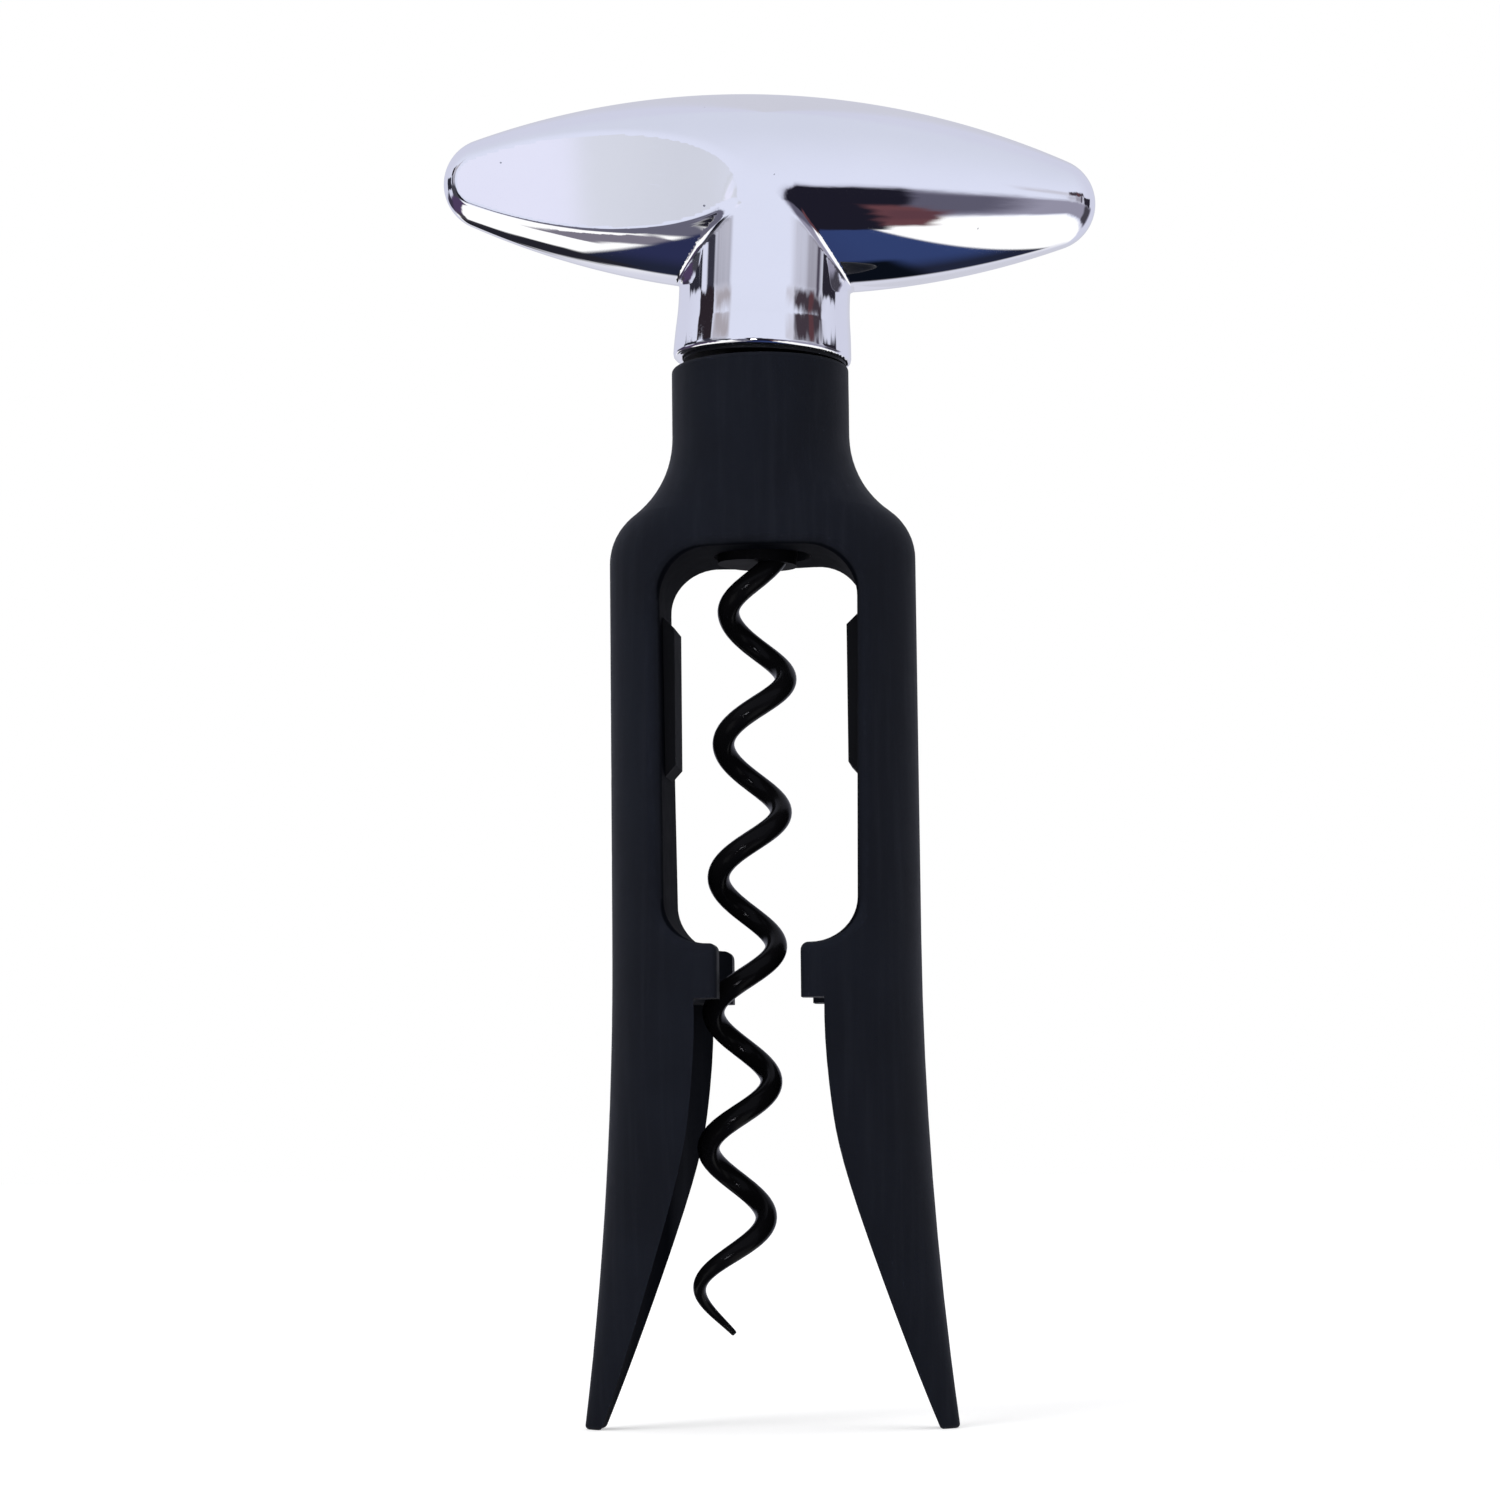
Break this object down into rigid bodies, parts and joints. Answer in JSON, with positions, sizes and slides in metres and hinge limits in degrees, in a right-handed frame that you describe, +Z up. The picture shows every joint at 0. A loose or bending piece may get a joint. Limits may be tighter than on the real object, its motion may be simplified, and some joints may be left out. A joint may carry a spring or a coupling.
{
  "type": "corkscrew",
  "caption": "Continuous-pull corkscrew: an oval bar handle turns a leaning spiral worm in a forked frame that stands on a bottle's neck.",
  "frame": {"origin": "on the frame's axis, in the plane of the two seats that rest on the rim of a bottle", "axes": "+Z up the frame's axis to the handle, X across the two legs, -Y towards the viewer"},
  "size_m": [0.0844, 0.025, 0.1708],
  "materials": {
    "frame": "matt blue-black moulded plastic",
    "grip_pads": "matt black",
    "handle": "polished chrome plate with small pits and scratches",
    "spindle": "satin black nylon",
    "worm": "glossy black non-stick coating on steel wire",
    "glide_ring": "satin black"
  },
  "bodies": {
    "frame": {"frame": "frame", "grip_pad_left": "grip_pads", "grip_pad_right": "grip_pads"},
    "lift": {"glide_ring": "glide_ring"},
    "screw": {"handle": "handle", "spindle": "spindle", "worm": "worm"}
  },
  "joints": [
    {"name": "screw_lift", "type": "slide", "parent": "frame", "child": "lift", "axis": [0.0471, 0, 0.9989], "range_m": [0, 0.126]},
    {"name": "screw_turn", "type": "hinge", "parent": "lift", "child": "screw", "pos_m": [0, 0, 0.0691], "axis": [0.0471, 0, 0.9989], "continuous": true}
  ]
}
